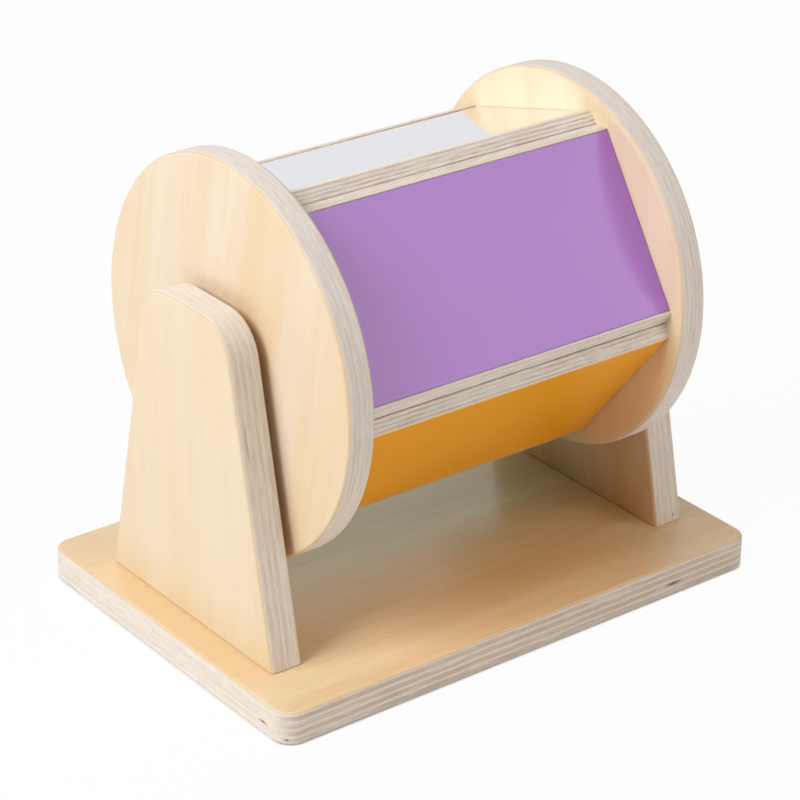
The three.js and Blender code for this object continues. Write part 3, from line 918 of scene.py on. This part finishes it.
floor_mesh = bpy.data.meshes.new("floor")
floor_bm = bmesh.new()
floor_corners = [(Vector(quarter) * FLOOR_SIZE / 2, Vector((0, 0))) for quarter in QUARTERS]
opening = rounded_outline(base_corners, [BASE_CORNER] * 4, CORNER_STEPS)
close(floor_bm, [ring(floor_bm, floor_corners, 0, 0), ring(floor_bm, opening, FLOOR_UNDER_BASE, 0)])
floor_bm.to_mesh(floor_mesh)
floor_bm.free()
floor = bpy.data.objects.new("floor", floor_mesh)
bpy.context.scene.collection.objects.link(floor)


def seen_directly(tree):
    """1 for what the eye, a mirror or glass sees, and 0 for light that falls on things."""
    path = tree.nodes.new("ShaderNodeLightPath")
    seen = Tone(path.outputs["Is Camera Ray"]) + Tone(path.outputs["Is Glossy Ray"])
    return seen.math("MINIMUM", seen + Tone(path.outputs["Is Transmission Ray"]), 1)


floor_finish = bpy.data.materials.new("pale_floor")
floor_finish.use_nodes = True
set_surface(floor_finish, {"Base Color": FLOOR_COLOUR, "Roughness": FLOOR_ROUGHNESS})
floor_tree = floor_finish.node_tree
seen = seen_directly(floor_tree)
shader = Tone(floor_tree.nodes["Principled BSDF"].outputs[0])
spot = seen.add("ShaderNodeNewGeometry")
away = seen.add("ShaderNodeVectorMath", {"operation": "LENGTH"}, {0: spot}, 1)
white = away.step(BACKDROP_START, BACKDROP_END).mix((1, 1, 1, 1), BACKDROP_COLOUR)
glow = seen.add("ShaderNodeEmission", None, {"Color": white, "Strength": 1})
beyond = [abs(spot.part(k)) - base_half[k] + BASE_CORNER for k in (0, 1)]
beyond = [reach.math("MAXIMUM", reach, 0) for reach in beyond]
clear = seen.math("POWER", beyond[0] * beyond[0] + beyond[1] * beyond[1], 0.5)
share = seen * FLOOR_GLOW * clear.step(GLOW_START, GLOW_END)
floor_mix = seen.add("ShaderNodeMixShader", None, {0: share, 1: shader, 2: glow})
floor_tree.links.new(floor_mix.socket, floor_tree.nodes["Material Output"].inputs["Surface"])
floor_mesh.materials.append(floor_finish)

world = bpy.data.worlds.new("studio")
world.use_nodes = True
bpy.context.scene.world = world
background = world.node_tree.nodes["Background"]
background.inputs["Color"].default_value = BACKDROP_COLOUR
seen = seen_directly(world.node_tree)
below = seen.add("ShaderNodeTexCoord").part(2).step(*BELOW_HORIZON)
room = seen + (1 - seen) * below * LIGHT_FROM_BELOW
world.node_tree.links.new(room.socket, background.inputs["Strength"])


def softbox(name, toward, width, level, colour):
    """A square panel of light. At level 1 it lights a white card that faces it to full white."""
    lamp = bpy.data.lights.new(name, "AREA")
    lamp.shape = "SQUARE"
    lamp.size = width
    lamp.energy = level * (math.pi * LAMP_DISTANCE) ** 2
    lamp.color = colour
    panel = bpy.data.objects.new(name, lamp)
    bpy.context.scene.collection.objects.link(panel)
    toward = Vector(toward).normalized()
    panel.location = axle_centre + toward * LAMP_DISTANCE
    panel.rotation_euler = toward.to_track_quat("Z", "Y").to_euler()
    panel.visible_camera = False


softbox("key_panel", (-0.80, 0.06, 0.60), width=1.2, level=0.92, colour=WHITE_LIGHT)
softbox("top_panel", (-0.25, -0.05, 0.95), width=1.4, level=0.13, colour=WHITE_LIGHT)
softbox("behind_panel", (0.10, 0.35, 0.93), width=1.4, level=0.15, colour=WHITE_LIGHT)
softbox("fill_panel", (0.547, -0.689, 0.476), width=1.0, level=0.175, colour=(1, 0.95, 0.90))
softbox("front_panel", (0.20, -0.95, 0.22), width=1.4, level=0.23, colour=(1, 0.93, 0.86))
softbox("back_panel", (0.35, 0.85, 0.40), width=1.4, level=0.095, colour=WHITE_LIGHT)

# Camera
# It looks down on the object from the front left, from about a metre and a half away.

CAMERA_AZIMUTH = math.radians(-37.856)
CAMERA_HEIGHT_ANGLE = math.radians(26.267)
CAMERA_DISTANCE = 1.45816
CAMERA_ROLL = math.radians(0.693)
CAMERA_LENS = 132.135
SENSOR_WIDTH = 36
LOOKED_AT = Vector((0.01617, 0.02385, 0.08008))

back = Vector((
    math.sin(CAMERA_AZIMUTH) * math.cos(CAMERA_HEIGHT_ANGLE),
    -math.cos(CAMERA_AZIMUTH) * math.cos(CAMERA_HEIGHT_ANGLE),
    math.sin(CAMERA_HEIGHT_ANGLE),
))
camera_data = bpy.data.cameras.new("camera")
camera_data.sensor_width = SENSOR_WIDTH
camera_data.lens = CAMERA_LENS
camera = bpy.data.objects.new("camera", camera_data)
bpy.context.scene.collection.objects.link(camera)
turn = (-back).to_track_quat("-Z", "Y") @ Matrix.Rotation(CAMERA_ROLL, 3, "Z").to_quaternion()
camera.location = LOOKED_AT + back * CAMERA_DISTANCE
camera.rotation_euler = turn.to_euler()
bpy.context.scene.camera = camera
bpy.context.scene.view_settings.view_transform = "Standard"
